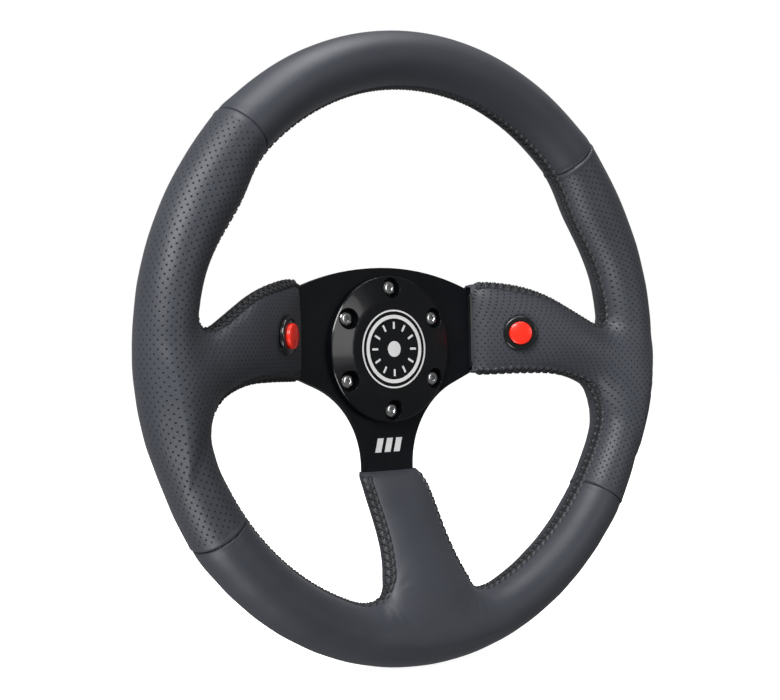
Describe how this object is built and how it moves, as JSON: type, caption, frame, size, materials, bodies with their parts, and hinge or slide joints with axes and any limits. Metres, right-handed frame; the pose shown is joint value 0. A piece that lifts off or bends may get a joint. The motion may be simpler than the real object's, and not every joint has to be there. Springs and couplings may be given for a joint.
{
  "type": "steering wheel",
  "caption": "Dished three-spoke motorsport steering wheel with a leather grip, a bolted hub plate under a round cover and two sprung thumb buttons.",
  "frame": {"origin": "centre of the bolt circle, on the back face of the hub plate where it meets the steering hub", "axes": "-Y towards the driver along the steering axis, +X to the driver's right, +Z towards the top of the wheel"},
  "size_m": [0.35, 0.065, 0.35],
  "materials": {
    "leather": "satin charcoal leather, perforated on the sides",
    "thread": "waxed black thread",
    "foam": "moulded integral-skin foam",
    "plate_black": "fine satin black anodised",
    "frame_alloy": "bare drawn tube",
    "cover_black": "gloss black anodised",
    "print_white": "printed white",
    "screw_bright": "bright nickel",
    "cap_red": "glossy red",
    "spring_steel": "drawn wire",
    "contact_brass": "bright brass",
    "stem_white": "moulded",
    "button_black": "glossy black"
  },
  "bodies": {
    "wheel": {"spoke_plate": "plate_black", "rim_core": "frame_alloy", "rim_welds": "frame_alloy", "rim_foam": "foam", "left_pad": "foam", "right_pad": "foam", "lower_pad": "foam", "leather_upper": "leather", "leather_left": "leather", "leather_right": "leather", "leather_lower": "leather", "stitches_upper": "thread", "stitches_left": "thread", "stitches_right": "thread", "stitches_lower": "thread", "centre_cover": "cover_black", "cover_emblem": "print_white", "plate_mark": "print_white", "hub_screws": "screw_bright", "left_button_body": "button_black", "left_button_nut": "button_black", "left_button_base": "button_black", "left_button_terminals": "contact_brass", "right_button_body": "button_black", "right_button_nut": "button_black", "right_button_base": "button_black", "right_button_terminals": "contact_brass", "left_button_spring": "spring_steel", "right_button_spring": "spring_steel"},
    "left_button": {"left_button_cap": "cap_red", "left_button_stem": "stem_white", "left_button_contact": "contact_brass"},
    "right_button": {"right_button_cap": "cap_red", "right_button_stem": "stem_white", "right_button_contact": "contact_brass"}
  },
  "joints": [
    {"name": "left_button_press", "type": "slide", "parent": "wheel", "child": "left_button", "axis": [-0.5736, 0.8192, 0], "range_m": [0, 0.002], "stiffness_N_per_m": 600, "springref_m": -0.002, "deforming": ["left_button_spring"]},
    {"name": "right_button_press", "type": "slide", "parent": "wheel", "child": "right_button", "axis": [0.5736, 0.8192, 0], "range_m": [0, 0.002], "stiffness_N_per_m": 600, "springref_m": -0.002, "deforming": ["right_button_spring"]}
  ]
}
